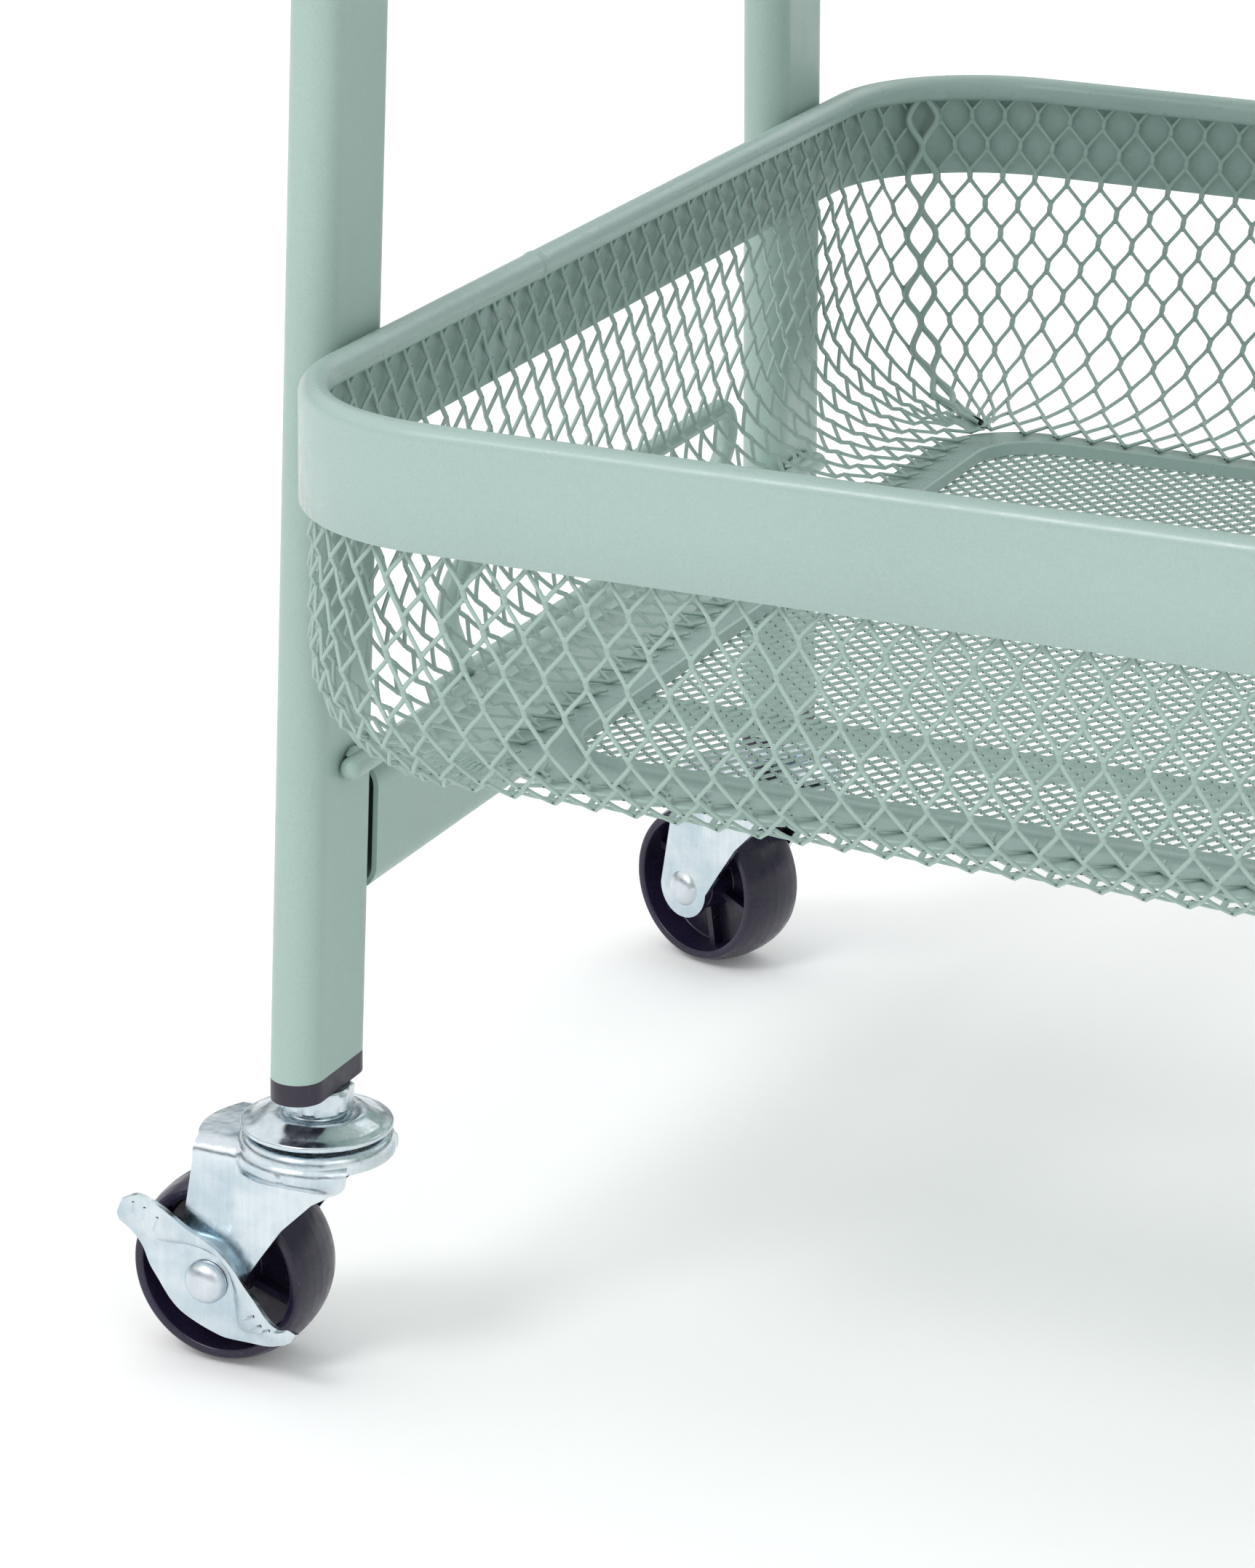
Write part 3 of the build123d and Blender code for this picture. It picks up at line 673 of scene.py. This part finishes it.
def stem_shape():
    """The hexagon with its corners chamfered round, over the collar and neck."""
    turn = np.linspace(0, 2 * np.pi, 144, endpoint=False)
    side = HEX_ACROSS / 2 / np.cos(np.mod(turn + HEX_TURN, np.pi / 3) - np.pi / 6)
    neck = [(0.01, 61.0), (7.3, 61.0), (7.35, 61.35), (6.7, 61.6), (6.5, 61.9), (6.5, 62.4)]
    limits = [(7.25, 62.55), (7.8, 62.9), (8.4, 63.6), (8.4, 67.0), (7.8, 67.6), (7.3, 67.9)]
    rows = [(np.full_like(turn, radius), height) for radius, height in neck]
    rows += [(np.minimum(side, limit), height) for limit, height in limits]
    rows.append((np.full_like(turn, 0.01), limits[-1][1]))
    points = [
        np.stack([radius * np.cos(turn), radius * np.sin(turn), np.full_like(turn, height)], -1)
        for radius, height in rows
    ]
    return np.concatenate(points), grid_quads(len(rows), len(turn), wrap_columns=True)


def cup_shape():
    """The upper race plate: a recess round the neck, a raised ring and a thin flat rim."""
    outline = [(4.6, 60.9), (7.3, 60.9), (8.6, 61.9), (10.6, 62.1), (12.6, 61.2), (14.8, 60.0)]
    outline += [(16.0, 59.7), (16.85, 59.5), (16.9, 58.3), (15.6, 58.1), (13.8, 59.5)]
    outline += [(4.6, 59.6), (4.6, 60.9)]
    return lathe(rounded(outline, 0.9), 120, closed=True)


def head_shape():
    """The fork's round head, its shoulder rolled over and down."""
    outline = [(4.7, 53.6), (4.7, 57.6), (14.6, 57.6), (16.9, 56.6), (17.5, 54.6), (17.4, 52.6)]
    outline += [(16.2, 52.8), (15.8, 54.4), (10.0, 54.4), (4.7, 53.6)]
    return lathe(rounded(outline, 1.6), 120, closed=True)


# the leg's two edges over the axle, as (height, along the trail)
LEADING = [(22, 12.5), (29.4, 7.7), (37.3, 2.3), (44.9, -5.2), (48.6, -11.1), (50, -12.6)]
TRAILING = [(22, 28.5), (33.6, 26.6), (50.3, 23.9)]


def fork_shape():
    """Both legs and the plate over them as one bent skin, flared to meet the head.

    Each leg ends in a half round under the axle, and a shallow channel is pressed into it."""
    low_turn = np.radians(np.linspace(6, 86, 10))
    round_end = AXLE_Z - LEG_END_R * np.cos(low_turn)
    heights = np.concatenate([round_end, np.linspace(22.0, LEG_TOP, 34)])
    end = np.sqrt(np.maximum(LEG_END_R**2 - np.minimum(heights - AXLE_Z, 0) ** 2, 0))
    above = heights > AXLE_Z
    front = np.where(above, np.interp(heights, *zip(*LEADING)), TRAIL - end)
    back = np.where(above, np.interp(heights, *zip(*TRAILING)), TRAIL + end)
    part = np.linspace(0, 1, 30)
    x = front[:, None] + (back - front)[:, None] * part
    z = np.repeat(heights[:, None], len(part), 1)
    flare = np.maximum(np.sqrt(np.maximum(HEAD_R**2 - x**2, 0)) - LEG_OUT, 0)
    channel_x = 10.3 - 0.25 * (z - 43)
    channel = np.exp(-(((x - channel_x) / 2.6) ** 2)) * smooth_step(z, 30, 38)
    channel = channel * (1 - smooth_step(z, 48, 51))
    y = LEG_OUT + flare * smooth_step(z, 48.0, 52.6) + 0.75 * channel
    leg = np.stack([x, y, z], -1)
    bend = []
    for turn in np.radians([30, 60, 90]):
        bend.append(leg[-1] + LEG_BEND * np.array([0, math.cos(turn) - 1, math.sin(turn)]))
    for share in (0.75, 0.5, 0.25, 0.0):
        row = bend[2].copy()
        row[:, 1] *= share
        row[:, 0] += 3.0 * (1 - share**2) * smooth_step(part, 0.5, 1.0)
        bend.append(row)
    half = np.concatenate([leg, np.stack(bend)])
    other = half[-2::-1] * np.array([1, -1, 1])
    return slab(np.concatenate([half, other])[:, ::-1], LEG_T)


def at_axle(shape):
    """A shape drawn round the Y axis, moved to the axle."""
    points, quads = shape
    return points + np.array([TRAIL, 0, AXLE_Z]), quads


def rivet_shape(out):
    """The axle and its two domed heads; the one on the lever's side stands that far out."""
    dome = [(0.01, 3.4), (2.2, 3.2), (3.9, 2.4), (4.9, 1.1), (5.0, 0.0)]
    near = [(radius, out + height) for radius, height in dome]
    far = [(radius, -RIVET_OUT - 0.7 * height) for radius, height in dome[::-1]]
    outline = [*smooth_rows(near, 4), (AXLE_R, out), (AXLE_R, -RIVET_OUT), *smooth_rows(far, 4)]
    return at_axle(lathe(outline, 64, lying=True))


def wheel_shape():
    """Crowned tread with eased edges, deep hollow faces, hub and six ribs."""
    half = [(22.0, 0.0), (21.85, 3.0), (21.4, 6.0), (20.75, 8.2), (20.2, 9.5), (18.2, 9.5)]
    half += [(17.5, 1.5), (7.1, 1.5), (6.9, 9.4), (4.1, 9.5)]
    outline = [*rounded(half, 0.7)]
    outline += [(radius, -out) for radius, out in outline[::-1]]
    parts = [lathe(outline, 128, closed=True, lying=True)]
    box = np.array([(x, y, z) for x in (6.6, 17.9) for y in (-4.6, 4.6) for z in (-0.9, 0.9)])
    faces = [(0, 1, 3, 2), (4, 6, 7, 5), (0, 4, 5, 1), (2, 3, 7, 6), (0, 2, 6, 4), (1, 5, 7, 3)]
    for turn in np.radians(np.arange(6) * 60 + 20):
        x = box[:, 0] * math.cos(turn) - box[:, 2] * math.sin(turn)
        z = box[:, 0] * math.sin(turn) + box[:, 2] * math.cos(turn)
        parts.append((np.stack([x, box[:, 1], z], -1), np.array(faces)))
    return at_axle(joined(*parts))


# each station of the lever: its lower edge, its ridge and its upper edge, as (away, up, out)
# from the middle of the axle
LEVER_STATIONS = [
    [(-20.2, 12.2, 16.5), (-19.9, 14.5, 18.0), (-18.4, 18.0, 18.5)],
    [(-17.5, 9.5, 15.5), (-16.3, 12.0, 16.5), (-14.4, 19.6, 18.0)],
    [(-15.9, 5.5, 13.7), (-13.6, 7.6, 14.2), (-9.0, 17.2, 17.4)],
    [(-14.3, 1.5, 13.6), (-9.0, 7.4, 13.5), (-3.6, 13.5, 17.0)],
    [(-12.2, -1.7, 13.6), (-4.0, 7.8, 13.4), (1.8, 10.9, 16.9)],
    [(-9.3, -5.9, 13.6), (1.0, 7.3, 13.4), (5.5, 8.3, 16.8)],
    [(-6.2, -8.7, 13.6), (4.5, 4.5, 13.4), (8.5, 5.2, 16.8)],
    [(-1.9, -10.8, 13.6), (6.3, 0.0, 13.4), (10.9, 2.0, 16.8)],
    [(1.5, -12.0, 13.6), (6.8, -4.5, 13.4), (13.5, -1.0, 16.9)],
    [(4.6, -12.7, 13.7), (7.8, -9.5, 14.0), (16.5, -5.0, 16.8)],
    [(10.5, -12.3, 14.6), (13.0, -9.5, 15.5), (19.5, -6.5, 17.0)],
    [(16.5, -11.5, 16.0), (18.5, -9.5, 17.0), (22.2, -5.6, 18.0)],
    [(21.3, -9.6, 17.5), (23.5, -8.0, 18.5), (24.6, -5.8, 19.0)],
]


def lever_shape():
    """The rocking lever: flat round the rivet, its upper edge rolled out into two press tips,
    with three ribs on each tip."""
    stations = smooth_rows(LEVER_STATIONS, 5)
    lower, ridge, upper = stations[:, 0], stations[:, 1], stations[:, 2]
    across = []
    for t in np.linspace(0, 1, 6)[:-1]:
        across.append(lower + (ridge - lower) * t)
    for t in np.linspace(0, 1, 9):
        rolled = np.array([t, t, 1 - (1 - t) ** 2.4])
        across.append(ridge + (upper - ridge) * rolled)
    grid = np.stack(across, 1)
    place = np.stack([TRAIL - grid[..., 0], grid[..., 2], AXLE_Z + grid[..., 1]], -1)
    normals = unit(np.cross(np.gradient(place, axis=1), np.gradient(place, axis=0)))
    parts = [slab(place.transpose(1, 0, 2)[::-1], LEVER_T)]
    rib = 0.42 * np.array([(1, 0), (0.5, 0.7), (-0.5, 0.7), (-1, 0), (0, -0.7)])
    for station in (4, 7, 10, 43, 46, 49):
        path, out = smooth_rows(place[station, 8:12], 3), smooth_rows(normals[station, 8:12], 3)
        parts.append(strands(path[None], out[None], rib))
    return joined(*parts)


def build_casters():
    """One mesh of each kind, placed at each caster, with levers and long rivets at the front."""
    shapes = {}
    for name, (points, quads), material, sharp in (
        ("stem", stem_shape(), ZINC, 20),
        ("cup", cup_shape(), ZINC, 60),
        ("head", head_shape(), ZINC, 60),
        ("fork", fork_shape(), ZINC, 50),
        ("wheel", wheel_shape(), WHEEL_PLASTIC, 35),
        ("lever", lever_shape(), ZINC, 55),
        ("rivet", rivet_shape(RIVET_OUT), RIVET_STEEL, 40),
        ("long_rivet", rivet_shape(LEVER_OUT), RIVET_STEEL, 40),
    ):
        shapes[name] = mesh_from(name, points * MM, quads, material, sharp)
    for corner in CASTERS:
        at = caster_place(corner)
        swivel = f"swivel_{corner}"
        rivet = shapes["long_rivet" if corner in BRAKED else "rivet"]
        rows = [
            ("stem", shapes["stem"], "frame", "zinc", "caster_stems"),
            ("cup", shapes["cup"], "frame", "zinc", "caster_top_cups"),
            ("head", shapes["head"], swivel, "zinc", f"caster_fork_{corner}"),
            ("legs", shapes["fork"], swivel, "zinc", f"caster_fork_{corner}"),
            ("rivet", rivet, swivel, "rivet_steel", f"axle_rivet_{corner}"),
            ("wheel", shapes["wheel"], f"wheel_{corner}", "wheel_plastic", f"wheel_{corner}"),
        ]
        if corner in BRAKED:
            body, node = f"brake_{corner}", f"brake_lever_{corner}"
            rows.append(("lever", shapes["lever"], body, "zinc", node))
        for name, mesh, body, slot, node in rows:
            place_piece(f"caster_{name}_{corner}_made", mesh, body, [node], at)


build_casters()


# ---- paint on the CAD nodes that stay ----------------------------------------------------
def paint(node, material):
    """Gives a CAD node a finished material."""
    data = frame["nodes"][node].data
    data.materials.clear()
    data.materials.append(material)


for node in frame["nodes"]:
    if node.startswith(("side_frame", "crossbar")):
        paint(node, FRAME_PAINT)
    elif node.startswith(("support_rod", "hanger", "stretcher")):
        paint(node, ROD_PAINT)
    elif node.startswith("wheel_bush"):
        paint(node, RIVET_STEEL)
paint("post_end_caps", CAP_PLASTIC)
paint("caster_balls", BALL_STEEL)


# ---- floor, light and camera -------------------------------------------------------------
FLOOR_REACH = 8.0
WORLD_STRENGTH = 0.98
AIM = Vector((0.0, 0.0, 0.2))
CAMERA_AT = Vector((0.2821, -1.1198, 0.5269))
CAMERA_DOWN, CAMERA_HEADING, CAMERA_ROLL = 19.375, -23.461, 0.948  # degrees
CAMERA_SENSOR, CAMERA_LENS = 36, 125.4  # millimetres


def build_stage():
    """The floor, and a white sky with a dark band low down for the metal to reflect."""
    mesh = bpy.data.meshes.new("floor")
    signs = ((-1, -1), (1, -1), (1, 1), (-1, 1))
    corners = [(x * FLOOR_REACH, y * FLOOR_REACH, 0) for x, y in signs]
    mesh.from_pydata(corners, [], [(0, 1, 2, 3)])
    mesh.materials.append(pale_floor("floor"))
    floor = bpy.data.objects.new("floor", mesh)
    bpy.context.scene.collection.objects.link(floor)
    world = bpy.data.worlds.new("studio")
    world.use_nodes = True
    tree = world.node_tree
    direction = tree.nodes.new("ShaderNodeTexCoord").outputs["Generated"]
    parts = tree.nodes.new("ShaderNodeSeparateXYZ")
    tree.links.new(direction, parts.inputs["Vector"])
    dark_band = [(0.16, (0.22, 0.25, 0.26)), (0.34, (0.30, 0.33, 0.34))]
    shades = [(0.0, grey(1.0)), (0.10, grey(1.0)), *dark_band, (0.46, grey(1.1))]
    sky = ramp(tree, parts.outputs["Z"], shades)
    tree.links.new(sky, tree.nodes["Background"].inputs["Color"])
    tree.nodes["Background"].inputs["Strength"].default_value = WORLD_STRENGTH
    bpy.context.scene.world = world


def soft_light(name, position, size, power):
    """A square soft box pointed at the trolley."""
    light = bpy.data.lights.new(name, "AREA")
    light.shape = "SQUARE"
    light.size = size
    light.energy = power
    lamp = bpy.data.objects.new(name, light)
    bpy.context.scene.collection.objects.link(lamp)
    lamp.location = position
    lamp.rotation_mode = "QUATERNION"
    lamp.rotation_quaternion = (AIM - Vector(position)).to_track_quat("-Z", "Y")


def build_camera():
    """The camera that shows the trolley's lower left corner from in front and above."""
    tilt, heading, roll = np.radians([CAMERA_DOWN, CAMERA_HEADING, CAMERA_ROLL])
    level = math.cos(tilt)
    forward = Vector((math.sin(heading) * level, math.cos(heading) * level, -math.sin(tilt)))
    right = Vector((math.cos(heading), -math.sin(heading), 0))
    up = right.cross(forward)
    rolled_right = right * math.cos(roll) + up * math.sin(roll)
    rolled_up = up * math.cos(roll) - right * math.sin(roll)
    data = bpy.data.cameras.new("camera")
    data.sensor_width = CAMERA_SENSOR
    data.lens = CAMERA_LENS
    camera = bpy.data.objects.new("camera", data)
    bpy.context.scene.collection.objects.link(camera)
    turned = Matrix((rolled_right, rolled_up, -forward)).transposed()
    camera.matrix_world = Matrix.Translation(CAMERA_AT) @ turned.to_4x4()
    bpy.context.scene.camera = camera


build_stage()
bpy.context.scene.view_settings.view_transform = "Standard"  # keeps the pale floor white
soft_light("key", (-0.9, -2.0, 2.4), size=0.9, power=27)
soft_light("fill", (2.2, -1.4, 1.4), size=1.8, power=6)
soft_light("back", (0.6, 2.4, 1.8), size=1.8, power=8)
build_camera()
